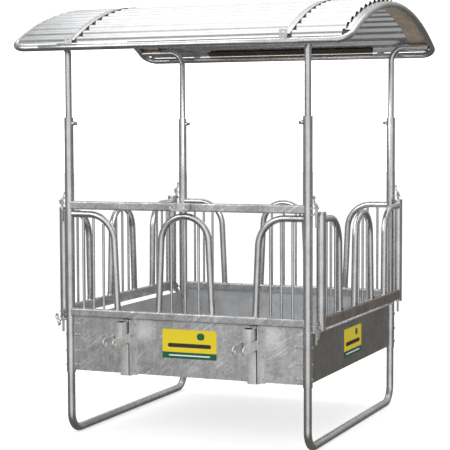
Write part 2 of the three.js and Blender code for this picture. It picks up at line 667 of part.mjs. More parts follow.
// Top link bracket: a plate on the front top rail with two tapered ears.
function topBracket() {
  const t = TOP_LINK;
  const back = -(POST.y + RAIL.depth / 2 + 0.3);
  const outer = t.halfGap + t.thick;
  const pieces = [block(-outer, outer, back - t.plate, back, RAIL.topRailBottom, RAIL.topRailTop)];
  for (const side of [-1, 1]) {
    const ear = earOutline(t.holeY, t.holeZ, t.radius, back - 1, RAIL.topRailBottom, RAIL.topRailTop);
    const near = side * t.halfGap;
    const far = side * outer;
    pieces.push(alongX(ear, Math.min(near, far), Math.max(near, far)));
  }
  const hole = new THREE.CylinderGeometry(t.hole, t.hole, 2 * outer + 10, 12).rotateZ(Math.PI / 2);
  return join(pieces, [hole.translate(0, t.holeY, t.holeZ)]);
}

add(feeder, 'top_link_bracket', topBracket(), 'cast');

export default feeder;
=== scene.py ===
# Looks of the roofed bale feeder: fine metalwork over the CAD parts, finishes, floor, light and camera.
import json
import math

import bpy
from mathutils import Matrix, Quaternion, Vector, noise


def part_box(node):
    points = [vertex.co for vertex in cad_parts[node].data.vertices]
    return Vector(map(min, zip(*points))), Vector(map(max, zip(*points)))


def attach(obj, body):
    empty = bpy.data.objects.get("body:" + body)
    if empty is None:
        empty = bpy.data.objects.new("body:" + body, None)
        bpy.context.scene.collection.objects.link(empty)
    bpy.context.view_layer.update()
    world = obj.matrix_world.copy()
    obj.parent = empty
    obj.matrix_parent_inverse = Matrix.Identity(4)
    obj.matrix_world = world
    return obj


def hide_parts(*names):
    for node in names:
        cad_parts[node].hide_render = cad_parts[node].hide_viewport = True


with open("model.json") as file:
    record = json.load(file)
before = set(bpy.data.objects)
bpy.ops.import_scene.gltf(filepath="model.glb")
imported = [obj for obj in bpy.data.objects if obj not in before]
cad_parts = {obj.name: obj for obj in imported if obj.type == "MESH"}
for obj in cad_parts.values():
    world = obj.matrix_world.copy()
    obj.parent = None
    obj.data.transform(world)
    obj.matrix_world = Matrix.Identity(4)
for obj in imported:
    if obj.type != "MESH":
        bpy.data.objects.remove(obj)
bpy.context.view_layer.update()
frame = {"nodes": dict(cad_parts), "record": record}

# -------- dimensions, in millimetres
MM = 0.001
POST = {"x": 826, "y": 900, "radius": 30.15, "wall": 2.9, "bottom": 413, "top": 2085}
LEG = {"radius": 25.4, "wall": 2.9, "top": 700, "bend": 115}
UPRIGHT = {"bottom": 1500, "bend": 100, "tail": 2587}
PIPE = {"radius": 21.2, "wall": 2.6}
BAR = 8.5
RAIL = {"depth": 50, "bottom": 784, "top": 835, "upper_bottom": 1487, "upper_top": 1539, "corner": 6,
        "wall": 3}
FIXED_ARCH = {"foot_z": 835.5, "top": 1455, "foot": 185, "half_foot": 480, "corner": 508,
              "bars": (-95, 0, 95), "half_bars": (580, 652, 727)}
GATE_ARCH = {"foot_z": 843.5, "top": 1450, "foot": 190, "half_foot": 490, "corner": 508,
             "bars": (-95, 0, 95), "half_bars": (578, 666, 753)}
ARCH_SPRING, ARCH_BEND = 165, 180
GATE = {"x": 896, "tube_y": 850, "bottom": 775, "top": 1485, "rail_bottom": 778, "rail_top": 843,
        "rail_width": 40, "eye": 15.5, "eye_thick": 12, "slot": 18}
PIN = {"out": 56, "radius": 8, "hole": 9.2, "collar": 12.5, "collar_height": 8, "shank": 14, "length": 122}
LUG = {"radius": 16, "thick": 6, "levels": (757, 796, 1480, 1522)}
WELD_ROOT = 24  # what is welded on a post starts this far from its axis, inside its wall
STRIP = {"near": 28, "far": 75, "offset": 2, "thick": 4, "bottom": 440, "top": 740,
         "bolt_levels": (662, 556, 462), "bolt_places": (40, 64)}
CLAMP = {"z": 2046, "boss": 13, "length": 13, "hole": 9.4, "shaft": 8, "head": 13, "from": 46, "to": 58}
ROOF = {"shift": -31, "half_length": 1147.9, "half_width": 1011.95, "radius": 1981, "eave": 2534,
        "corner": 93}
STUB = {"left": 200, "right": 300}
EAVE = {"neck": 17, "gap": 7}
END_STRIP = {"inner": 1998, "thick": 3, "width": 140}
SHEET = {"pitch": 95.45, "depth": 18, "thick": 1.5, "base": 2002.7, "end_gap": 21, "edge": 12, "seam": 0.8,
         "flat": 0.3, "steps": 252}
STRAP = {"places": (-704, 764), "width": 40, "thick": 2.9, "inner": 2023.2, "edge": 13}
FOOT_PLATE = {"width": 52, "height": 54, "thick": 4, "hole": 8, "offset": -22, "y": 1024, "bottom": 2553}
HITCH = {"places": (-412, 472), "width": 60, "depth": 45, "wall": 4, "bottom": 420, "top": 783,
         "socket": 80, "socket_bottom": 628, "socket_top": 774, "ear": 9, "hole_y": -1148, "hole_z": 657,
         "ear_radius": 28.95, "ear_rear": -925, "ear_low": 638, "ear_high": 700, "hole": 14,
         "angle_depth": 48, "angle_thick": 5, "angle_width": 32, "bolt_levels": (750, 590, 450),
         "ear_bolts": (-930, 680, 668)}
TOP_LINK = {"half_gap": 44, "thick": 8, "plate": 6, "hole_y": -1000, "hole_z": 1509, "hole": 12.75,
            "radius": 21}
TROUGH = {"half_sheet": 1.5, "bottom": 427, "side_top": 765, "flange": 28, "lip_out": 35, "lip_down": 25,
          "bolt_pitch": 270}
# Where the painted shadow and the brown painted reflection under the rear eave lie.
EAVE_SHADE = {"radius": 1997, "near": 982, "join": 1030, "far": 1044, "thick": 2.5,
        "places": (-640, -200, 250, 655)}
FRONT_LABEL = (-160, 216.5, 545, 732)
SIDE_LABEL = (-185, 190, 490, 680)
ROOF_CENTRE = ROOF["eave"] - math.sqrt(ROOF["radius"] ** 2 - ROOF["half_width"] ** 2)
HALF_ARC = ROOF["radius"] * math.asin(ROOF["half_width"] / ROOF["radius"])
ROOT = "frame_and_trough"
SIDES = (("left", -1), ("right", 1))
ENDS = (("front", -1), ("rear", 1))


def posts_middle():
    boxes = [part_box(f"leg_frame_{side}") for side, _ in SIDES]
    middle = [(min(box[0][k] for box in boxes) + max(box[1][k] for box in boxes)) / 2 for k in range(2)]
    return Vector((*middle, 0))


ORIGIN = posts_middle()


# -------- shapes
class Shape:
    """Vertices and faces in millimetres, measured from the middle of the four posts."""

    def __init__(self):
        self.points = []
        self.faces = []

    def add(self, points, faces):
        base = len(self.points)
        self.points += [Vector(p) for p in points]
        self.faces += [tuple(base + i for i in face) for face in faces]


def circle(radius, sides=28):
    return [(radius * math.cos(2 * math.pi * k / sides), radius * math.sin(2 * math.pi * k / sides))
            for k in range(sides)]


def arc(centre, radius, start, stop, steps):
    """Points on an arc in a plane, from one angle in degrees to another."""
    angles = (math.radians(start + (stop - start) * k / steps) for k in range(steps + 1))
    return [(centre[0] + radius * math.cos(angle), centre[1] + radius * math.sin(angle)) for angle in angles]


def rounded(width, height, corner, steps=4):
    points = []
    for cx, cy, start in ((1, 1, 0), (-1, 1, 90), (-1, -1, 180), (1, -1, 270)):
        centre = cx * (width / 2 - corner), cy * (height / 2 - corner)
        points += arc(centre, corner, start, start + 90, steps)
    return points


def divided(profile, pieces=6):
    """The same rounded outline with each of its four straight sides split up."""
    per_corner = len(profile) // 4
    points = []
    for k, (a, b) in enumerate(zip(profile, profile[1:] + profile[:1])):
        points.append(a)
        if k % per_corner == per_corner - 1:
            points += [(a[0] + (b[0] - a[0]) * j / pieces, a[1] + (b[1] - a[1]) * j / pieces)
                       for j in range(1, pieces)]
    return points


def rings_along(path, profile, closed=False, up=None):
    """The profile repeated along the path, turned as little as possible from one place to the next."""
    path = [Vector(p) for p in path]
    count = len(path)
    rings = []
    normal = Vector(up) if up else None
    for i, point in enumerate(path):
        before = path[i - 1] if closed or i else point
        after = path[(i + 1) % count] if closed or i < count - 1 else point
        tangent = (after - before).normalized()
        if normal is None:
            normal = tangent.orthogonal()
        normal = (normal - tangent * normal.dot(tangent)).normalized()
        side = tangent.cross(normal)
        rings.append([point + normal * a + side * b for a, b in profile])
    return rings


def skin(shape, rings, closed=False, inward=False):
    count = len(rings[0])
    faces = []
    for i in range(len(rings) if closed else len(rings) - 1):
        j = (i + 1) % len(rings)
        for k in range(count):
            m = (k + 1) % count
            face = (i * count + k, i * count + m, j * count + m, j * count + k)
            faces.append(face[::-1] if inward else face)
    shape.add([p for ring in rings for p in ring], faces)


def close_end(shape, outer, inner, first):
    count = len(outer)
    if inner:
        faces = [(k, m, count + m, count + k) for k, m in enumerate((*range(1, count), 0))]
    else:
        faces = [tuple(range(count))]
    shape.add(outer + (inner or []), [face[::-1] for face in faces] if first else faces)


def bead(shape, path, radius=2.6, closed=True, step=3.5):
    """A rippled weld bead along a path."""
    path = [Vector(p) for p in path]
    ends = path + path[:1] if closed else path
    fine = []
    for a, b in zip(ends, ends[1:]):
        pieces = max(1, round((b - a).length / step))
        fine += [a.lerp(b, k / pieces) for k in range(pieces)]
    if not closed:
        fine.append(path[-1])
    rings = rings_along(fine, circle(1, 6), closed)
    for i, (centre, ring) in enumerate(zip(fine, rings)):
        size = radius * (0.95 + 0.12 * (i % 2) + 0.25 * noise.noise(centre * 0.05))
        rings[i] = [centre + (p - centre) * size for p in ring]
    skin(shape, rings, closed)
    if not closed:
        close_end(shape, rings[0], None, True)
        close_end(shape, rings[-1], None, False)


def section(shape, path, outer, inner=None, up=None, cuts=(None, None), beads=(False, False)):
    """A solid or hollow section along a path. Each end may be cut to fit a post and welded round."""
    rings = rings_along(path, outer, up=up)
    bore = rings_along(path, inner, up=up) if inner else None
    for end, cut in zip((0, -1), cuts):
        if cut:
            rings[end] = [cut(p) for p in rings[end]]
            if bore:
                bore[end] = [cut(p) for p in bore[end]]
    skin(shape, rings)
    if bore:
        skin(shape, bore, inward=True)
    for end, wanted in zip((0, -1), beads):
        close_end(shape, rings[end], bore[end] if bore else None, end == 0)
        if wanted:
            bead(shape, rings[end])


def pipe(shape, path, radius=PIPE["radius"], wall=PIPE["wall"], sides=28, **ends):
    section(shape, path, circle(radius, sides), circle(radius - wall, sides), **ends)


def saddle(axis, centre, side):
    """Cuts a ring so that it fits round a post or gate tube that stands at centre, on the given side."""
    def cut(point):
        across = point[1 - axis] - centre[1 - axis]
        moved = point.copy()
        moved[axis] = centre[axis] - side * math.sqrt(max((POST["radius"] - 0.4) ** 2 - across ** 2, 0))
        return moved
    return cut


def bent(corners, radius, steps=10):
    """A path through the corners with each inner corner rounded."""
    corners = [Vector(c) for c in corners]
    path = [corners[0]]
    for a, b, c in zip(corners, corners[1:], corners[2:]):
        u = (a - b).normalized()
        v = (c - b).normalized()
        half = u.angle(v) / 2
        reach = radius / math.tan(half)
        centre = b + (u + v).normalized() * (radius / math.sin(half))
        start = b + u * reach - centre
        stop = b + v * reach - centre
        turn = start.rotation_difference(stop)
        for k in range(steps + 1):
            path.append(centre + Quaternion().slerp(turn, k / steps) @ start)
    path.append(corners[-1])
    return path


def lathe(shape, profile, place, sides=24):
    """Turned work: profile is (radius, height) pairs round the Z of place."""
    rings = []
    for radius, height in profile:
        rings.append([place @ Vector((a, b, height)) for a, b in circle(max(radius, 0.02), sides)])
    skin(shape, rings)
    close_end(shape, rings[0], None, True)
    close_end(shape, rings[-1], None, False)


def plate(shape, outline, thick, place, holes=(), bevel=0.9):
    """A flat plate with eased edges, drawn in the X-Y plane of place and centred on it."""
    curve = bpy.data.curves.new("outline", "CURVE")
    curve.dimensions = "2D"
    curve.fill_mode = "BOTH"
    curve.extrude = thick / 2 - bevel
    curve.bevel_depth = bevel
    curve.bevel_resolution = 1
    curve.offset = -bevel
    for loop in (outline, *holes):
        spline = curve.splines.new("POLY")
        spline.points.add(len(loop) - 1)
        for point, (x, y) in zip(spline.points, loop):
            point.co = (x, y, 0, 1)
        spline.use_cyclic_u = True
    holder = bpy.data.objects.new("outline", curve)
    mesh = bpy.data.meshes.new_from_object(holder)
    shape.add([place @ v.co for v in mesh.vertices], [tuple(f.vertices) for f in mesh.polygons])
    bpy.data.objects.remove(holder)
    bpy.data.meshes.remove(mesh)
    bpy.data.curves.remove(curve)


def at(x, y, z):
    return Matrix.Translation((x, y, z))


def facing(position, direction):
    turn = Vector(direction).to_track_quat("Z", "Y").to_matrix().to_4x4()
    return Matrix.Translation(position) @ turn


def disc(centre, radius, sides=24):
    return [(centre[0] + a, centre[1] + b) for a, b in circle(radius, sides)]


# The plane of a plate that stands upright and runs along Y, drawn as (y, z), or along X, as (x, z).
ALONG_Y = Matrix(((0, 0, 1, 0), (1, 0, 0, 0), (0, 1, 0, 0), (0, 0, 0, 1)))
ALONG_X = Matrix(((1, 0, 0, 0), (0, 0, -1, 0), (0, 1, 0, 0), (0, 0, 0, 1)))


def bolt(shape, position, direction, size=8):
    """A hexagon head on a washer, with a slightly domed top."""
    place = facing(position, direction)
    lathe(shape, [(1.75 * size, -0.5), (1.75 * size, 0.8), (1.6 * size, 1.3), (0.9 * size, 1.3)], place, 20)
    lathe(shape, [(1.08 * size, 1.2), (1.12 * size, 2), (1.12 * size, 0.75 * size),
                  (0.9 * size, 0.95 * size), (0.3 * size, 0.98 * size)], place, 6)


def ring(shape, centre, axis, radius, wire):
    place = facing(centre, axis)
    path = [place @ Vector((a, b, 0)) for a, b in circle(radius, 22)]
    skin(shape, rings_along(path, circle(wire, 8), True), True)


def chain(shape, start, stop, sag, pitch=19, wire=2.4, width=6.4):
    """Short links along a hanging line, each turned a quarter round from the last."""
    start, stop = Vector(start), Vector(stop)

    def place(t):
        point = start.lerp(stop, t)
        point.z -= 4 * sag * t * (1 - t)
        return point
    fine = [place(k / 60) for k in range(61)]
    length = sum((b - a).length for a, b in zip(fine, fine[1:]))
    count = max(2, round(length / pitch))
    for i in range(count):
        a, b = place(i / count), place((i + 1) / count)
        along = (b - a).normalized()
        across = along.cross(Vector((0.3, 0.2, 1))).normalized()
        if i % 2:
            across = along.cross(across)
        middle = (a + b) / 2
        half = (b - a).length / 2 + wire - width + 1.2
        loop = []
        for sign, first in ((1, -90), (-1, 90)):
            loop += [middle + along * u + across * v
                     for u, v in arc((sign * half, 0), width, first, first + 180, 6)]
        skin(shape, rings_along(loop, circle(wire, 6), True), True)


# -------- pieces
def piece(name, shape, body, finish, slot, *nodes):
    mesh = bpy.data.meshes.new(name)
    mesh.from_pydata([p * MM + ORIGIN for p in shape.points], [], shape.faces)
    mesh.validate()
    mesh.materials.append(finish)
    mesh.shade_smooth()
    mesh.set_sharp_from_angle(angle=math.radians(38))
    made = bpy.data.objects.new(name, mesh)
    bpy.context.scene.collection.objects.link(made)
    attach(made, body)
    if nodes:
        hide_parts(*nodes)
    return made


def stand_in(node, shape, finish, slot):
    body = next(b for b, names in frame["record"]["behaviour"]["bodies"].items() if node in names)
    return piece(f"fine_{node}", shape, body, finish, slot, node)


# -------- finishes
class Nodes:
    """Short-hand for building the node tree of a material or of the world."""

    def __init__(self, owner, coordinates="Object"):
        owner.use_nodes = True
        self.owner = owner
        self.tree = owner.node_tree
        self.shader = self.tree.nodes.get("Principled BSDF")
        self.place = self.node("TexCoord", {}).outputs[coordinates]

    def link(self, output, socket):
        self.tree.links.new(output, socket)

    def node(self, kind, sockets, **settings):
        """A new node, with each of its sockets set to a value or linked to another node's output."""
        made = self.tree.nodes.new("ShaderNode" + kind)
        for name, value in settings.items():
            setattr(made, name, value)
        for name, value in sockets.items():
            if isinstance(value, bpy.types.NodeSocket):
                self.link(value, made.inputs[name])
            else:
                made.inputs[name].default_value = value
        return made

    def scaled(self, scale, source=None):
        return self.node("Mapping", {"Vector": source or self.place, "Scale": scale}).outputs["Vector"]

    def turned(self, degrees):
        turn = (0, math.radians(degrees), 0)
        return self.node("Mapping", {"Vector": self.place, "Rotation": turn}).outputs["Vector"]

    def noise(self, scale, detail=3, rough=0.55, source=None):
        sockets = {"Vector": source or self.place, "Scale": scale, "Detail": detail, "Roughness": rough}
        return self.node("TexNoise", sockets).outputs["Fac"]

    def cells(self, size):
        """A level of its own for each cell, with cells about size millimetres across."""
        cells = self.node("TexVoronoi", {"Vector": self.place, "Scale": 1 / (size * MM)})
        return self.node("SeparateColor", {"Color": cells.outputs["Color"]}).outputs["Red"]

    def vector_maths(self, what, other):
        return self.node("VectorMath", {0: self.place, 1: other}, operation=what).outputs["Value"]

    def spread(self, value, low, high, out_low, out_high, how="LINEAR"):
        sockets = {"Value": value, "From Min": low, "From Max": high, "To Min": out_low, "To Max": out_high}
        return self.node("MapRange", sockets, interpolation_type=how).outputs["Result"]

    def maths(self, what, a, b):
        return self.node("Math", {0: a, 1: b}, operation=what).outputs["Value"]

    def product(self, *values):
        result = values[0]
        for value in values[1:]:
            result = self.maths("MULTIPLY", result, value)
        return result

    def tinted(self, shade, dark, light):
        sockets = {"A": (*dark, 1), "B": (*light, 1), "Factor": shade}
        return self.node("Mix", sockets, data_type="RGBA").outputs["Result"]

    def bump(self, height, distance, strength):
        made = self.node("Bump", {"Height": height, "Distance": distance, "Strength": strength})
        self.link(made.outputs["Normal"], self.shader.inputs["Normal"])


def galvanised(name, light, dark, spangle, rough, contrast=0.3, metal=0.9, grime=0.25, scratched=False,
               grain=0.35, cloud=0.55, run=0.75, bright_patches=()):
    """Hot-dip zinc: cells of spangle millimetres, cloudy mottling, runs down the face and fine grain.

    It is brighter, with streaks, round each of the bright_patches, which are places in metres in the row's
    frame.
    """
    n = Nodes(bpy.data.materials.new(name))
    cells = n.spread(n.cells(spangle), 0, 1, 1 - contrast, 1)
    clouds = n.spread(n.noise(9, 5), 0.3, 0.7, cloud, 1)
    runs = n.spread(n.noise(1, 3, source=n.scaled((55, 55, 4))), 0.3, 0.7, run, 1)
    specks = n.spread(n.noise(330, 2), 0.3, 0.45, 1 - grime, 1)
    shade = n.product(cells, clouds, runs, specks)
    rough_value = n.spread(n.noise(26, 4), 0.3, 0.7, *rough)
    if scratched:
        fine = n.noise(1, 5, 0.7, n.scaled((5, 5, 75), n.turned(35)))
        where = n.spread(n.noise(3.5, 2), 0.42, 0.58, 0, 1)
        lines = n.product(n.spread(fine, 0.54, 0.64, 0, 0.9), where)
        shade = n.maths("ADD", shade, n.product(lines, 0.95))
        rough_value = n.maths("SUBTRACT", rough_value, n.product(lines, 0.2))
    for centre in bright_patches:
        streaks = n.spread(n.noise(1, 4, 0.6, n.scaled((30, 30, 70), n.turned(-25))), 0.35, 0.65, 0.35, 1)
        near = n.spread(n.vector_maths("DISTANCE", centre), 0.015, 0.105, 0.75, 0)
        shade = n.maths("ADD", shade, n.product(near, streaks))
    n.link(n.tinted(n.spread(shade, 0.25, 1, 0, 1), dark, light), n.shader.inputs["Base Color"])
    n.link(rough_value, n.shader.inputs["Roughness"])
    n.shader.inputs["Metallic"].default_value = metal
    n.bump(n.noise(85, 4), 0.0006, grain)
    return n.owner


def printed(name, colour):
    """The slightly worn face of a printed label."""
    n = Nodes(bpy.data.materials.new(name))
    wear = n.spread(n.noise(60, 5), 0.25, 0.75, 0.8, 1)
    faded = tuple(0.75 * c + 0.003 for c in colour)
    n.link(n.tinted(wear, faded, colour), n.shader.inputs["Base Color"])
    n.link(n.spread(n.noise(20, 3), 0.3, 0.7, 0.3, 0.5), n.shader.inputs["Roughness"])
    n.bump(n.noise(150, 2), 0.0002, 0.3)
    return n.owner


TUBE = galvanised("tube_zinc", (0.86, 0.87, 0.88), (0.42, 0.42, 0.43), spangle=22, contrast=0.14,
                  rough=(0.24, 0.3), metal=1, grime=0.1, grain=0.02, cloud=0.65)
RAIL_ZINC = galvanised("rail_zinc", (0.84, 0.85, 0.86), (0.34, 0.34, 0.35), spangle=16, rough=(0.26, 0.42),
                       metal=0.95, grime=0.15, scratched=True, grain=0.1)
# Brighter zinc for the sloping lips of the side sheets: a painted highlight of the sky they reflect.
LIP_HIGHLIGHT_ZINC = galvanised("lip_painted_highlight", (0.92, 0.92, 0.92), (0.6, 0.6, 0.6), spangle=14, contrast=0.2,
                      rough=(0.2, 0.35), grime=0.1, grain=0.1)
# Brighter, streaked patches on the front sheet, right of each bracket.
BRIGHT_PATCHES = [ORIGIN + Vector((x + 122, -POST["y"], 706)) * MM for x in HITCH["places"]]
PANEL = galvanised("panel_zinc", (0.85, 0.86, 0.87), (0.31, 0.31, 0.32), spangle=18, rough=(0.24, 0.42),
                   grime=0.12, scratched=True, grain=0.15, cloud=0.66, bright_patches=BRIGHT_PATCHES)
INNER_PANEL = galvanised("inner_panel_zinc", (0.80, 0.81, 0.82), (0.45, 0.46, 0.47), spangle=40,
                         contrast=0.15, rough=(0.35, 0.5), metal=0.6, grime=0.06, grain=0.1)
# Darker, browner zinc for the right side sheet: painted shade with a brown painted reflection of its dim
# surroundings.
SHADED_SIDE_PANEL = galvanised("side_panel_painted_shade", (0.40, 0.385, 0.37), (0.2, 0.185, 0.17), spangle=16,
                        rough=(0.4, 0.6), metal=0.8)
ROOF_ZINC = galvanised("roof_zinc", (0.70, 0.71, 0.72), (0.46, 0.46, 0.47), spangle=16, contrast=0.08,
                       rough=(0.2, 0.27), metal=0.97, grime=0.03, grain=0.005, cloud=0.85, run=0.93)
# Darker, browner zinc for the under layer of the roof's end strips: painted shade with a brown painted
# reflection.
SHADED_UNDER_ZINC = galvanised("under_painted_shade", (0.62, 0.52, 0.42), (0.3, 0.245, 0.19), spangle=18, contrast=0.4,
                        rough=(0.4, 0.6), metal=0.6)
PLATE = galvanised("plate_zinc", (0.94, 0.95, 0.96), (0.5, 0.5, 0.5), spangle=9, contrast=0.25,
                   rough=(0.3, 0.46), metal=0.85, grime=0.2, grain=0.15)
# Darker, browner zinc for the right gate's rail: painted shade with a brown painted reflection.
SHADED_RAIL_ZINC = galvanised("right_rail_painted_shade", (0.42, 0.37, 0.32), (0.16, 0.13, 0.11), spangle=14,
                        rough=(0.35, 0.5), metal=0.75)
STRAP_ZINC = galvanised("strap_zinc", (0.85, 0.85, 0.85), (0.5, 0.5, 0.5), spangle=9, contrast=0.2,
                        rough=(0.35, 0.5))
PLATED = galvanised("plated_steel", (0.78, 0.78, 0.76), (0.4, 0.39, 0.37), spangle=4, contrast=0.2,
                    rough=(0.25, 0.42))
# Black for the label's printed bar, and for painted shade in the sockets, on the drain holes and under the
# rear eave.
DARK = galvanised("dark_strip", (0.05, 0.045, 0.04), (0.015, 0.014, 0.012), spangle=10, rough=(0.5, 0.7),
                  metal=0.2)
# Brown for the painted reflection under the rear eave.
BROWN_REFLECTION = galvanised("brown_painted_reflection", (0.32, 0.2, 0.08), (0.16, 0.1, 0.05), spangle=10, rough=(0.5, 0.7),
                   metal=0.2)
YELLOW = printed("label_yellow", (0.72, 0.56, 0.0))
GREEN = printed("label_green", (0.0, 0.10, 0.045))
WHITE = printed("clip_white", (0.8, 0.8, 0.8))


# -------- posts and legs
def lug(shape, x, y, z, side):
    radius = LUG["radius"]
    half = [(WELD_ROOT, -radius), *arc((PIN["out"], 0), radius, -90, 90, 12), (WELD_ROOT, radius)]
    outline = [(side * a, b) for a, b in half]
    plate(shape, outline, LUG["thick"], at(x, y, z), [disc((side * PIN["out"], 0), PIN["hole"])])
    for level in (-1, 1):
        height = z + level * (LUG["thick"] / 2 + 0.8)
        seam = [(x + side * a, y + b, height) for a, b in arc((0, 0), POST["radius"], -34, 34, 17)]
        bead(shape, seam, 2.2, closed=False)


def corner_strip(shape, centre, direction, face):
    """A flat strip up the sheet beside a post: direction is along the sheet, face is its outer side."""
    middle = (STRIP["near"] + STRIP["far"]) / 2
    rise = (STRIP["bottom"] + STRIP["top"]) / 2
    out = STRIP["offset"] + STRIP["thick"] / 2
    width, height = STRIP["far"] - STRIP["near"], STRIP["top"] - STRIP["bottom"]
    place = at(*(centre + Vector(direction) * middle + Vector(face) * out + Vector((0, 0, rise))))
    turn = ALONG_X if abs(direction[0]) > 0.5 else ALONG_Y
    plate(shape, rounded(width, height, 5), STRIP["thick"], place @ turn)


def build_post(end, side, sx, sy):
    x, y = sx * POST["x"], sy * POST["y"]
    shape = Shape()
    bottom, top = POST["bottom"], POST["top"]
    path = [(x, y, z) for z in (bottom, bottom + 2, top - 2, top)]
    pipe(shape, path, POST["radius"], POST["wall"], 36)
    for z in LUG["levels"]:
        lug(shape, x, y, z, sx)
    centre = Vector((x, y, 0))
    corner_strip(shape, centre, (-sx, 0, 0), (0, sy, 0))
    corner_strip(shape, centre, (0, -sy, 0), (-sx, 0, 0))
    reach = POST["radius"] + CLAMP["length"]
    inner = facing((x, y, CLAMP["z"]), (-sx, 0, 0))
    boss = [(CLAMP["hole"], reach - 0.2), (CLAMP["hole"], reach), (CLAMP["boss"] - 1.2, reach),
            (CLAMP["boss"], reach - 1.2), (CLAMP["boss"], WELD_ROOT)]
    lathe(shape, boss[::-1], inner)
    around = [inner @ Vector((a, b, 0)) for a, b in circle(CLAMP["boss"] + 1, 20)]
    for point in around:
        point.x = x - sx * math.sqrt(POST["radius"] ** 2 - (point.y - y) ** 2)
    bead(shape, around, 2.4)
    stand_in(f"post_{end}_{side}", shape, TUBE, "tube")
    hardware = Shape()
    for z in STRIP["bolt_levels"]:
        for along in STRIP["bolt_places"]:
            bolt(hardware, (x - sx * along, y + sy * (STRIP["offset"] + STRIP["thick"]), z), (0, sy, 0), 5)
        bolt(hardware, (x + sx * (POST["radius"] - 1), y, z), (sx, 0, 0), 7)
    piece(f"post_bolts_{end}_{side}", hardware, ROOT, PLATED, "pin")


def build_legs(side, sx):
    shape = Shape()
    x, y, z = sx * POST["x"], POST["y"], LEG["radius"]
    path = bent([(x, -y, LEG["top"]), (x, -y, z), (x, y, z), (x, y, LEG["top"])], LEG["bend"], 14)
    pipe(shape, path, LEG["radius"], LEG["wall"], 32)
    stand_in(f"leg_frame_{side}", shape, TUBE, "tube")


# -------- rails and arches
def turned(plane, x, z):
    """A place in a wall: along X on the wall at y = plane[1], or along Y on the wall at x = plane[1]."""
    axis, where = plane
    return Vector((x, where, z)) if axis == 0 else Vector((where, x, z))


def fitted(plane, reach, side):
    """Cuts the end of a wall's tube to the post or gate tube that stands reach away on that side."""
    axis, where = plane
    centre = (side * reach, where) if axis == 0 else (where, side * reach)
    return saddle(axis, centre, side)


def levelled(height):
    """Cuts the foot of a tube flat at a height."""
    return lambda point: Vector((point.x, point.y, height))


def level_circle(plane, x, z, radius, sides):
    return [turned((plane[0], plane[1] + b), x + a, z) for a, b in circle(radius, sides)]


def build_rail(node, plane, reach, half_span, low, high, depth, finish=RAIL_ZINC):
    shape = Shape()
    middle, height, wall = (low + high) / 2, high - low, RAIL["wall"]
    outer = divided(rounded(height, depth, RAIL["corner"]))
    inner = divided(rounded(height - 2 * wall, depth - 2 * wall, RAIL["corner"] - wall))
    cuts = [fitted(plane, reach, side) for side in (-1, 1)]
    path = [turned(plane, x, middle) for x in (-half_span, 0, half_span)]
    section(shape, path, outer, inner, up=(0, 0, 1), cuts=cuts, beads=(True, True))
    stand_in(node, shape, finish, "tube")


def foot_bead(shape, plane, x, z):
    bead(shape, level_circle(plane, x, z + 1, PIPE["radius"] + 0.6, 24), 2.8)


def bar(shape, plane, x, low, high):
    path = [turned(plane, x, low), turned(plane, x, high)]
    section(shape, path, circle(BAR, 18))
    bead(shape, level_circle(plane, x, low + 0.8, BAR + 0.4, 16), 1.9)


def build_full_arch(node, plane, arch):
    shape = Shape()
    spring = arch["top"] - ARCH_SPRING
    foot = arch["foot_z"]
    halfway = (arch["foot"] + ARCH_SPRING) / 2, (foot + spring) / 2
    points = [(-arch["foot"], foot), (-halfway[0], halfway[1]), *arc((0, spring), ARCH_SPRING, 180, 0, 24),
              halfway, (arch["foot"], foot)]
    pipe(shape, [turned(plane, x, z) for x, z in points], cuts=(levelled(foot), levelled(foot)))
    for side in (-1, 1):
        foot_bead(shape, plane, side * arch["foot"], foot)
    for x in arch["bars"]:
        reach = ARCH_SPRING - PIPE["radius"] + 3
        bar(shape, plane, x, foot, spring + math.sqrt(reach ** 2 - x ** 2))
    stand_in(node, shape, TUBE, "tube")


def build_half_arch(node, plane, arch, side, reach, half_span):
    shape = Shape()
    foot = arch["foot_z"]
    corners = [turned(plane, side * half_span, arch["top"]),
               turned(plane, side * arch["corner"], arch["top"]),
               turned(plane, side * arch["half_foot"], foot)]
    cuts = (fitted(plane, reach, side), levelled(foot))
    pipe(shape, bent(corners, ARCH_BEND, 16), cuts=cuts, beads=(True, False))
    foot_bead(shape, plane, side * arch["half_foot"], foot)
    centre_x = arch["corner"] + ARCH_BEND
    inside = ARCH_BEND - PIPE["radius"] + 3
    for x in arch["half_bars"]:
        off = max(centre_x - x, 0)
        bar(shape, plane, side * x, foot, arch["top"] - ARCH_BEND + math.sqrt(inside ** 2 - off ** 2))
    stand_in(node, shape, TUBE, "tube")


def build_fixed_walls():
    span = POST["x"] - POST["radius"]
    for end, sy in ENDS:
        plane = (0, sy * POST["y"])
        build_rail(f"{end}_bottom_rail", plane, POST["x"], span, RAIL["bottom"], RAIL["top"], RAIL["depth"])
        build_full_arch(f"{end}_arch_middle", plane, FIXED_ARCH)
        for side, sx in SIDES:
            build_half_arch(f"{end}_arch_{side}", plane, FIXED_ARCH, sx, POST["x"], span)
    build_rail("front_top_rail", (0, -POST["y"]), POST["x"], span, RAIL["upper_bottom"], RAIL["upper_top"],
               RAIL["depth"])


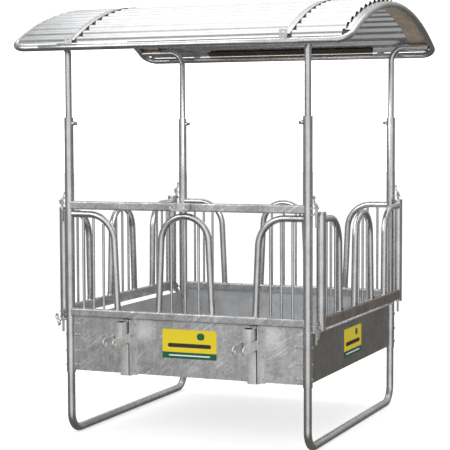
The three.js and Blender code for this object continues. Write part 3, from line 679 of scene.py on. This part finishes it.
# -------- gates
def eye_outline(offset, hooked, slot_way):
    """Cap of a gate tube with a tongue to the pin; a hooked one opens sideways in the slot_way direction."""
    length = math.hypot(*offset)
    angle = math.atan2(offset[1], offset[0])
    radius, nose = POST["radius"], GATE["eye"]
    start = math.degrees(math.asin(nose / radius))
    local = arc((0, 0), radius, start, 360 - start, 30)
    if not hooked:
        local += arc((length, 0), nose, -90, 90, 15)
    else:
        way = math.atan2(slot_way[1], slot_way[0]) - angle
        way = math.atan2(math.sin(way), math.cos(way))
        hand = 1 if way > 0 else -1
        delta = abs(way)
        half, hole = GATE["slot"] / 2, PIN["hole"]
        outer = math.degrees(delta - math.asin(half / nose))
        inner = math.asin(half / hole)
        tip = arc((length, 0), nose, -90, outer, 14)
        tip += arc((length, 0), hole, math.degrees(delta - inner), math.degrees(delta + inner) - 360, 20)
        reach = (nose - half * math.cos(delta)) / math.sin(delta)
        tip.append((length + reach * math.cos(delta) - half * math.sin(delta), nose))
        local += tip if hand > 0 else [(u, -v) for u, v in reversed(tip)]
    c, s = math.cos(angle), math.sin(angle)
    return [(u * c - v * s, u * s + v * c) for u, v in local]


def build_drain_shade(side, sx):
    """Painted shade: dark discs on the outer face of the gate arch tubes near their feet, standing in for
    the shadow inside their drain holes.
    """
    shape = Shape()
    face = sx * (GATE["x"] + PIPE["radius"] - 0.3)
    for y in (-GATE_ARCH["half_foot"], -GATE_ARCH["foot"], GATE_ARCH["foot"], GATE_ARCH["half_foot"]):
        place = facing((face, y, GATE_ARCH["foot_z"] + 14), (sx, 0, 0))
        lathe(shape, [(9, -2), (9, 0.5), (8, 0.8), (7, 0.4)], place, 16)
    piece(f"{side}_gate_drain_shade", shape, f"{side}_gate", DARK, None)


def build_gate(side, sx):
    for end, sy in ENDS:
        x, y = sx * GATE["x"], sy * GATE["tube_y"]
        shape = Shape()
        low, high = GATE["bottom"], GATE["top"]
        pipe(shape, [(x, y, low - 1), (x, y, high + 1)], POST["radius"], POST["wall"], 36)
        offset = (sx * (POST["x"] + PIN["out"] - GATE["x"]), sy * (POST["y"] - GATE["tube_y"]))
        hooked = end == "front"
        outline = eye_outline(offset, hooked, (-sx, 0))
        holes = [] if hooked else [disc(offset, PIN["hole"])]
        thick = GATE["eye_thick"]
        plate(shape, outline, thick, at(x, y, high + thick / 2), holes, 1.2)
        plate(shape, outline, thick, at(x, y, low - thick / 2), holes, 1.2)
        for z in (low - 0.6, high + 0.6):
            bead(shape, [(x + a, y + b, z) for a, b in circle(POST["radius"] + 0.5, 30)], 2)
        stand_in(f"{side}_gate_tube_{end}", shape, TUBE, "tube")
        build_half_arch(f"{side}_gate_arch_{end}", (1, sx * GATE["x"]), GATE_ARCH, sy, GATE["tube_y"],
                        GATE["tube_y"] - POST["radius"])
    plane = (1, sx * GATE["x"])
    # The right gate's rail gets the darker zinc of painted shade.
    build_rail(f"{side}_gate_rail", plane, GATE["tube_y"], GATE["tube_y"] - POST["radius"],
               GATE["rail_bottom"], GATE["rail_top"], GATE["rail_width"],
               SHADED_RAIL_ZINC if side == "right" else RAIL_ZINC)
    build_drain_shade(side, sx)
    build_full_arch(f"{side}_gate_arch_middle", plane, GATE_ARCH)


def build_pin(side, sx, end, sy, level, z):
    use = "latch" if end == "front" else "hinge"
    x, y = sx * (POST["x"] + PIN["out"]), sy * POST["y"]
    z += LUG["thick"] / 2 + 0.3
    shape = Shape()
    r, c, h = PIN["radius"], PIN["collar"], PIN["collar_height"]
    top, tip = h + PIN["shank"], -PIN["length"]
    lathe(shape, [(r - 3, tip), (r - 0.4, tip + 4), (r, tip + 6), (r, -0.1), (c - 1, 0), (c, 1), (c, h - 1),
                  (c - 1, h), (r, h), (r, top - 2), (r - 2, top), (1, top)], at(x, y, z))
    chained = use == "latch" or level == "top"
    if chained:
        ring(shape, (x + 0.5 * sx, y - 11, z + top - 5), (sx, 0, 0.25), 12.5, 1.9)
    stand_in(f"{side}_gate_{use}_pin_{level}", shape, PLATED, "pin")
    if not chained:
        return
    links = Shape()
    if level == "top":
        anchor = Vector((sx * (POST["x"] + POST["radius"] + 6), y - sy * 6, z + 62))
        chain(links, anchor, (x, y - 16, z + top - 8), 12)
    else:
        anchor = Vector((x + sx * 30, y + sy * 30, z - 8))
        chain(links, (x + sx * 4, y - 16, z + top - 8), anchor, 80)
        ring(links, anchor + Vector((0, 0, -14)), (0.4, 1, 0), 15, 2.6)
    ring(links, anchor, (0, 1, 0.2), 9, 2.6)
    ring(links, (x + sx * 3, y - 26, z + top - 13), (1, 0.4, 0.3), 13, 2.4)
    piece(f"chain_{side}_{end}_{level}", links, ROOT, PLATED, "pin")


def build_clamp(end, side, sx, sy):
    shape = Shape()
    place = facing((sx * POST["x"], sy * POST["y"], CLAMP["z"]), (-sx, 0, 0))
    shaft = [(CLAMP["shaft"] - 2, PIPE["radius"] + 0.5)]
    z = PIPE["radius"] + 2
    while z < CLAMP["from"]:
        shaft += [(CLAMP["shaft"] - 0.8, z), (CLAMP["shaft"], z + 1)]
        z += 2
    lathe(shape, shaft, place, 20)
    head, low, high = CLAMP["head"], CLAMP["from"], CLAMP["to"]
    hexagon = [(head * 0.86, low), (head, low + 1), (head, high - 2.5), (head * 0.84, high), (4, high)]
    lathe(shape, hexagon, place, 6)
    stand_in(f"roof_clamp_screw_{end}_{side}", shape, PLATED, "pin")


# -------- roof
def on_roof(x, along, radius):
    """A place over the roof, measured along its curve from the ridge, at a radius from its axis."""
    angle = along / ROOF["radius"]
    return Vector((x + ROOF["shift"], radius * math.sin(angle), ROOF_CENTRE + radius * math.cos(angle)))


def strip_over(shape, x0, x1, inner, thick, reach, steps):
    """A flat band bent over the roof from x0 to x1, and reaching as far each way from the ridge."""
    path = [on_roof((x0 + x1) / 2, reach * (2 * k / steps - 1), inner + thick / 2) for k in range(steps + 1)]
    section(shape, path, rounded(thick, abs(x1 - x0), 0.9, 2), up=(0, 0, 1))


def build_end_frame(side, sx):
    shape = Shape()
    reach, corner = ROOF["half_length"], ROOF["corner"]
    run = HALF_ARC - corner
    half = [(reach - STUB[side], -HALF_ARC), *arc((reach - corner, -run), corner, -90, 0, 12)]
    flat = half + [(reach, -run + 2 * run * k / 40) for k in range(1, 40)]
    flat += [(x, -along) for x, along in reversed(half)]
    pipe(shape, [on_roof(sx * x, along, ROOF["radius"]) for x, along in flat])
    near = sx * (reach - PIPE["radius"] - END_STRIP["width"])
    far = sx * (reach - 4)
    stand_in(f"roof_end_frame_{side}", shape, TUBE, "tube")
    layer = END_STRIP["thick"] / 2
    # Lit and shaded copies: the under layer gets painted shade, the top layer the tube's zinc.
    for face, finish, lift in (("under", SHADED_UNDER_ZINC, 0), ("top", TUBE, layer)):
        strip = Shape()
        strip_over(strip, near, far, END_STRIP["inner"] + lift, layer - 0.05, run, 48)
        piece(f"end_strip_{side}_{face}", strip, "roof", finish, "tube")


def build_eave(end, sy):
    shape = Shape()
    shoulder = ROOF["half_length"] - (STUB["left"] + STUB["right"]) / 2 - EAVE["gap"]
    tip = shoulder + EAVE["gap"] + 60
    r, neck = PIPE["radius"], EAVE["neck"]
    middle = ROOF["shift"] + (STUB["left"] - STUB["right"]) / 2
    place = facing((middle, sy * ROOF["half_width"], ROOF["eave"]), (1, 0, 0))
    half = [(neck - 2, -tip), (neck, -tip + 3), (neck, -shoulder - 1), (r - 2, -shoulder - 1),
            (r, -shoulder + 3), (r, -shoulder / 2)]
    lathe(shape, [*half, (r, 0), *((radius, -along) for radius, along in reversed(half))], place, 28)
    stand_in(f"eave_tube_{end}", shape, TUBE, "tube")


def build_sheet(end, sy):
    shape = Shape()
    outer = HALF_ARC - SHEET["edge"]
    count = SHEET["steps"]
    low, high = [], []
    for k in range(count + 1):
        along = SHEET["seam"] / 2 + (outer - SHEET["seam"] / 2) * k / count
        wave = 0.5 - 0.5 * math.cos(2 * math.pi * along / SHEET["pitch"])
        flattened = wave * wave * (3 - 2 * wave)
        base = SHEET["base"] + SHEET["depth"] * (wave + SHEET["flat"] * (flattened - wave))
        low.append((sy * along, base))
        high.append((sy * along, base + SHEET["thick"]))
    length = ROOF["half_length"] - PIPE["radius"] - SHEET["end_gap"]
    outline = low + high[::-1]
    rings = [[on_roof(x, along, radius) for along, radius in outline]
             for x in (-length, -length / 3, length / 3, length)]
    skin(shape, rings, inward=sy < 0)
    last = len(outline) - 1
    faces = [(k, k + 1, last - 1 - k, last - k) for k in range(count)]
    for end_ring, turn in ((rings[0], sy), (rings[-1], -sy)):
        shape.add(end_ring, faces if turn > 0 else [face[::-1] for face in faces])
    stand_in(f"roof_sheet_{end}", shape, ROOF_ZINC, "roof_sheet")


def build_strap(side, place_x):
    shape = Shape()
    near, far = place_x - STRAP["width"] / 2, place_x + STRAP["width"] / 2
    strip_over(shape, near, far, STRAP["inner"], STRAP["thick"], HALF_ARC - STRAP["edge"], 64)
    plates = Shape()
    p = FOOT_PLATE
    x = place_x + ROOF["shift"] + p["offset"]
    z = p["bottom"] + p["height"] / 2
    for sy in (-1, 1):
        hole = rounded(2 * p["hole"], 2 * p["hole"], 3)
        hole = [(a, b + 0.1 * p["height"]) for a, b in hole]
        place = at(x, sy * p["y"], z) @ ALONG_X
        plate(plates, rounded(p["width"], p["height"], 3), p["thick"], place, [hole])
        bolt(plates, (x + 14, sy * (p["y"] + 2), p["bottom"] + 12), (0, sy, 0), 3)
    stand_in(f"roof_strap_{side}", shape, STRAP_ZINC, "cast")
    piece(f"foot_plates_{side}", plates, "roof", PLATED, "cast")


def build_upright(end, side, sx, sy):
    shape = Shape()
    x, y = sx * POST["x"], sy * POST["y"]
    tail = sx * (ROOF["half_length"] - PIPE["radius"]) + ROOF["shift"]
    corners = [(x, y, UPRIGHT["bottom"]), (x, y, UPRIGHT["tail"]), (tail, y, UPRIGHT["tail"])]
    pipe(shape, bent(corners, UPRIGHT["bend"], 14), beads=(False, True))
    stand_in(f"roof_upright_{end}_{side}", shape, TUBE, "tube")


def build_rear_eave_shade():
    """Painted shadow: a dark strip under the sheet along the rear eave, with a brown strip of painted
    reflection below it.
    """
    for name, finish, near, far in (("rear_painted_shadow", DARK, EAVE_SHADE["near"], EAVE_SHADE["join"]),
                                    ("rear_painted_reflection", BROWN_REFLECTION, EAVE_SHADE["join"], EAVE_SHADE["far"])):
        shape = Shape()
        a, b = on_roof(0, near, EAVE_SHADE["radius"]), on_roof(0, far, EAVE_SHADE["radius"])
        middle = (a + b) / 2
        path = [(x, middle.y, middle.z) for x in EAVE_SHADE["places"]]
        section(shape, path, rounded(EAVE_SHADE["thick"], (b - a).length, 1, 2), up=(0, 0.52, 0.85))
        piece(name, shape, "roof", finish, "tube")


# -------- brackets
def box_section(shape, x, y_front, y_back, low, high, wall, width):
    middle = (y_front + y_back) / 2
    depth = y_back - y_front
    outer = rounded(depth, width, 5)
    inner = rounded(depth - 2 * wall, width - 2 * wall, 2)
    section(shape, [(x, middle, low), (x, middle, high)], outer, inner, up=(0, 1, 0))


def ear_outline(hole, radius, rear, low, high):
    return [(rear, low), *arc(hole, radius, -90, -270, 16), (rear, high)]


def build_bracket(side, x):
    h = HITCH
    shape = Shape()
    back = -(POST["y"] + TROUGH["half_sheet"] + 0.5)
    front = back - h["depth"]
    nose = front - h["socket"]
    half = h["width"] / 2
    box_section(shape, x, front, back, h["bottom"], h["top"], h["wall"], h["width"])
    box_section(shape, x, nose, front + 1, h["socket_bottom"], h["socket_top"], h["wall"], h["width"])
    hole = (h["hole_y"], h["hole_z"])
    outline = ear_outline(hole, h["ear_radius"], h["ear_rear"], h["ear_low"], h["ear_high"])
    for way in (-1, 1):
        place = at(x + way * (half + h["ear"] / 2 - 0.5), 0, 0) @ ALONG_Y
        plate(shape, outline, h["ear"], place, [disc(hole, h["hole"])], 1.2)
        edge = x + way * (half + 0.8)
        foot = h["socket_bottom"] - 0.5
        bead(shape, [(edge, nose + 6, foot), (edge, front - 8, foot)], 2.2, False)
        bead(shape, [(edge, nose, h["ear_high"] + 2), (edge, nose, h["socket_top"] - 8)], 1.6, False)
    leg = half + h["ear"] - 1
    height, middle = h["top"] - h["bottom"], (h["top"] + h["bottom"]) / 2
    place = at(x + leg + h["angle_thick"] / 2, back - h["angle_depth"] / 2, middle) @ ALONG_Y
    plate(shape, rounded(h["angle_depth"], height, 3), h["angle_thick"], place)
    width = h["angle_width"] + h["angle_thick"]
    place = at(x + leg + width / 2, back - h["angle_thick"] / 2, middle) @ ALONG_X
    plate(shape, rounded(width, height, 3), h["angle_thick"], place)
    stand_in(f"lower_link_bracket_{side}", shape, PLATE, "cast")
    # Painted shade: a thin dark sleeve inside the socket stands in for the shadow in its mouth.
    socket_shade = Shape()
    box_section(socket_shade, x, nose + h["wall"] + 0.2, front + 0.8 - h["wall"], h["socket_bottom"] + 2,
                h["socket_top"] - 1, 0.6, h["width"] - 2 * h["wall"] - 0.4)
    piece(f"socket_painted_shade_{side}", socket_shade, ROOT, DARK, "cast")
    hardware = Shape()
    for z in h["bolt_levels"]:
        bolt(hardware, (x + leg + width - 13, back - h["angle_thick"], z), (0, -1, 0), 5)
    y, right_z, left_z = h["ear_bolts"]
    bolt(hardware, (x + leg + h["angle_thick"], y, right_z), (1, 0, 0), 6)
    bolt(hardware, (x - half - h["ear"] + 0.5, y, left_z), (-1, 0, 0), 6)
    piece(f"bracket_bolts_{side}", hardware, ROOT, PLATED, "pin")


def build_top_bracket():
    t = TOP_LINK
    shape = Shape()
    back = -(POST["y"] + RAIL["depth"] / 2 + 0.3)
    outer = t["half_gap"] + t["thick"]
    low, high = RAIL["upper_bottom"], RAIL["upper_top"]
    place = at(0, back - t["plate"] / 2, (low + high) / 2) @ ALONG_X
    plate(shape, rounded(2 * outer, high - low, 2), t["plate"], place)
    hole = (t["hole_y"], t["hole_z"])
    outline = ear_outline(hole, t["radius"], back - 1, low, high)
    for way in (-1, 1):
        x = way * (t["half_gap"] + t["thick"] / 2)
        plate(shape, outline, t["thick"], at(x, 0, 0) @ ALONG_Y, [disc(hole, t["hole"])], 1.2)
        edge = way * (t["half_gap"] - 1)
        bead(shape, [(edge, back - t["plate"], low + 3), (edge, back - t["plate"], high - 3)], 2.2, False)
    stand_in("top_link_bracket", shape, PLATE, "cast")


# -------- trough details and labels
def build_side_wall(side, sx):
    """A side sheet with its lower edge folded in, and the sloping lip along its top."""
    half, bottom, top = TROUGH["half_sheet"], TROUGH["bottom"], TROUGH["side_top"]
    x, reach = POST["x"], POST["y"] - POST["radius"] - 0.5
    thick = 2 * half
    wall = [(x + half, bottom + 2), (x + half, top - 1), (x - half, top - 1), (x - half, bottom + thick + 1),
            (x - half - 1, bottom + thick), (x - half - TROUGH["flange"], bottom + thick),
            (x - half - TROUGH["flange"], bottom), (x + half - 2, bottom), (x + half - 0.5, bottom + 0.5)]
    # The right sheet gets the darker zinc of painted shade.
    panel = SHADED_SIDE_PANEL if side == "right" else INNER_PANEL
    out, down = x + half + TROUGH["lip_out"], top - TROUGH["lip_down"]
    lip = [(x - half, top), (x + half, top), (out, down + thick), (out, down), (x + half, top - thick - 0.5),
           (x - half, top - 1)]
    sheet = f"trough_{side}_sheet"
    # The lip gets the brighter zinc of painted highlight.
    for name, outline, finish, nodes in ((f"fine_{sheet}", wall, panel, [sheet]),
                                         (f"trough_{side}_lip", lip, LIP_HIGHLIGHT_ZINC, [])):
        shape = Shape()
        rings = [[Vector((sx * a, y, b)) for a, b in outline] for y in (-reach, 0, reach)]
        skin(shape, rings, inward=sx > 0)
        close_end(shape, rings[0], None, sx < 0)
        close_end(shape, rings[-1], None, sx > 0)
        piece(name, shape, ROOT, finish, "sheet", *nodes)


def build_trough_details():
    hardware = Shape()
    along = [(k - 2.5) * TROUGH["bolt_pitch"] for k in range(6)]
    for way in (-1, 1):
        for place in along:
            bolt(hardware, (place, way * (POST["y"] - 20), TROUGH["bottom"]), (0, 0, -1), 6)
            bolt(hardware, (way * (POST["x"] - 16), place, TROUGH["bottom"]), (0, 0, -1), 6)
    piece("trough_bolts", hardware, ROOT, PLATED, "pin")
    for side, sx in SIDES:
        build_side_wall(side, sx)
    for name, finish in (("trough_front_sheet", PANEL), ("trough_rear_sheet", INNER_PANEL),
                         ("trough_floor", INNER_PANEL)):
        mesh = frame["nodes"][name].data
        mesh.materials.clear()
        mesh.materials.append(finish)


def build_label(name, plane, x0, x1, low, high, thick=0.5):
    """A plain two-colour label stuck on a panel, with no lettering."""
    split = low + 0.22 * (high - low)
    turn = ALONG_X if plane[0] == 0 else ALONG_Y
    width, height = x1 - x0, high - low
    face = turned((plane[0], 0.15 if plane[1] > 0 else -0.15), 0, 0)
    shares = [("bar", DARK, 0.1, 0.9, 0.384, 0.524), ("spot", GREEN, 0.64, 0.78, 0.66, 0.9),
              ("line", WHITE, 0.12, 0.88, 0.09, 0.13)]
    parts = [("top", YELLOW, (x0, x1, split, high), 0), ("strip", GREEN, (x0, x1, low, split), 0)]
    parts += [(part, finish, (x0 + a * width, x0 + b * width, low + c * height, low + d * height), 1)
              for part, finish, a, b, c, d in shares]
    for part, finish, (a, b, z0, z1), level in parts:
        shape = Shape()
        middle = turned(plane, (a + b) / 2, (z0 + z1) / 2) + face * level
        corner = min(b - a, z1 - z0) * (0.45 if level else 0.04)
        plate(shape, rounded(b - a, z1 - z0, corner), thick, at(*middle) @ turn, bevel=0.1)
        piece(f"{name}_{part}", shape, ROOT, finish, None)


# -------- floor, light and camera
SKY = {"around": 0.28, "below": 0.14}
# The bright parts of the sky: the direction of each, the cosines where it starts and is full, its strength.
GLOWS = (((0.34, -0.93, 0.18), 0.55, 0.86, 0.72), ((0, 0.5, 0.87), 0.4, 0.92, 0.36))
GROUND_TINT = (1, 0.93, 0.86)
# Each lamp's place, target, size, power and share of shine. The fill stays under the roof at its lowest.
LAMPS = {"overhead": ((0, 0.5, 9), (0, 0, 0), (9, 9), 300, 0.05),
         "key": ((-5, -8, 6), (0, 0, 1.4), (5, 5), 200, 0.6),
         "fill": ((0.05, -0.2, 2.05), (0, 0.9, 0.1), (1.2, 0.7), 8, 0)}
CAMERA = {"yaw": 22.711, "pitch": 3.774, "roll": -0.194, "place": (3.7957, -9.3085, 2.0080), "lens": 116.655}


def glowing(name, colour, strength):
    """A matt surface for the floor or the backdrop, which glows a little."""
    n = Nodes(bpy.data.materials.new(name))
    for socket, value in (("Base Color", (*colour, 1)), ("Roughness", 0.9), ("Specular IOR Level", 0),
                          ("Emission Color", (*colour, 1)), ("Emission Strength", strength)):
        n.shader.inputs[socket].default_value = value
    return n.owner


def build_stage():
    bpy.ops.mesh.primitive_circle_add(vertices=96, radius=60, fill_type="NGON", location=(0, 0, -0.001))
    floor = bpy.context.object
    floor.name = "floor"
    floor.data.materials.append(glowing("floor_pale", (0.9, 0.9, 0.9), 0.6))
    floor.visible_glossy = False
    bpy.ops.mesh.primitive_uv_sphere_add(segments=64, ring_count=32, radius=58)
    dome = bpy.context.object
    dome.name = "backdrop"
    dome.data.materials.append(glowing("backdrop_white", (1, 1, 1), 1))
    for way in ("visible_diffuse", "visible_glossy", "visible_transmission", "visible_shadow",
                "visible_volume_scatter"):
        setattr(dome, way, False)


def build_world():
    """An overcast sky: bright in front and above, dim all round, and dimmer and brownish below."""
    world = bpy.data.worlds.new("studio")
    bpy.context.scene.world = world
    n = Nodes(world, "Generated")
    soft = "SMOOTHSTEP"
    height = n.node("SeparateXYZ", {"Vector": n.place}).outputs["Z"]
    light = n.spread(height, -0.35, 0.1, SKY["below"], SKY["around"], soft)
    for direction, start, full, strength in GLOWS:
        towards = n.vector_maths("DOT_PRODUCT", Vector(direction).normalized())
        light = n.maths("ADD", light, n.spread(towards, start, full, 0, strength, soft))
    background = n.tree.nodes["Background"]
    colour = n.tinted(n.spread(height, -0.5, 0, 0, 1, soft), GROUND_TINT, (1, 1, 1))
    n.link(colour, background.inputs["Color"])
    n.link(light, background.inputs["Strength"])


def build_lights():
    for name, (position, target, size, power, shine) in LAMPS.items():
        data = bpy.data.lights.new(name, "AREA")
        data.shape = "RECTANGLE"
        data.size, data.size_y = size
        data.energy = power
        data.specular_factor = shine
        lamp = bpy.data.objects.new(name, data)
        lamp.location = position
        lamp.visible_camera = False
        lamp.rotation_euler = (Vector(target) - Vector(position)).to_track_quat("-Z", "Y").to_euler()
        bpy.context.scene.collection.objects.link(lamp)


def build_camera():
    yaw, pitch, roll = (math.radians(CAMERA[name]) for name in ("yaw", "pitch", "roll"))
    forward = Vector((-math.sin(yaw) * math.cos(pitch), math.cos(yaw) * math.cos(pitch), -math.sin(pitch)))
    right = Vector((math.cos(yaw), math.sin(yaw), 0))
    up = right.cross(forward)
    across = right * math.cos(roll) + up * math.sin(roll)
    above = up * math.cos(roll) - right * math.sin(roll)
    data = bpy.data.cameras.new("view")
    data.lens = CAMERA["lens"]
    data.sensor_width = 36
    camera = bpy.data.objects.new("view", data)
    turn = Matrix((across, above, -forward)).transposed().to_4x4()
    camera.matrix_world = Matrix.Translation(ORIGIN + Vector(CAMERA["place"])) @ turn
    bpy.context.scene.collection.objects.link(camera)
    bpy.context.scene.camera = camera
    bpy.context.scene.view_settings.view_transform = "Standard"


def build_all():
    for side, sx in SIDES:
        build_legs(side, sx)
        build_gate(side, sx)
        build_end_frame(side, sx)
        for end, sy in ENDS:
            build_post(end, side, sx, sy)
            build_clamp(end, side, sx, sy)
            build_upright(end, side, sx, sy)
            for level, z in (("bottom", LUG["levels"][1]), ("top", LUG["levels"][3])):
                build_pin(side, sx, end, sy, level, z)
    build_fixed_walls()
    for end, sy in ENDS:
        build_eave(end, sy)
        build_sheet(end, sy)
    for (side, _), strap_x, bracket_x in zip(SIDES, STRAP["places"], HITCH["places"]):
        build_strap(side, strap_x)
        build_bracket(side, bracket_x)
    build_top_bracket()
    build_rear_eave_shade()
    build_trough_details()
    build_label("front_label", (0, -(POST["y"] + TROUGH["half_sheet"] + 0.3)), *FRONT_LABEL)
    build_label("side_label", (1, POST["x"] + TROUGH["half_sheet"] + 0.3), *SIDE_LABEL)


build_all()
build_stage()
build_world()
build_lights()
build_camera()
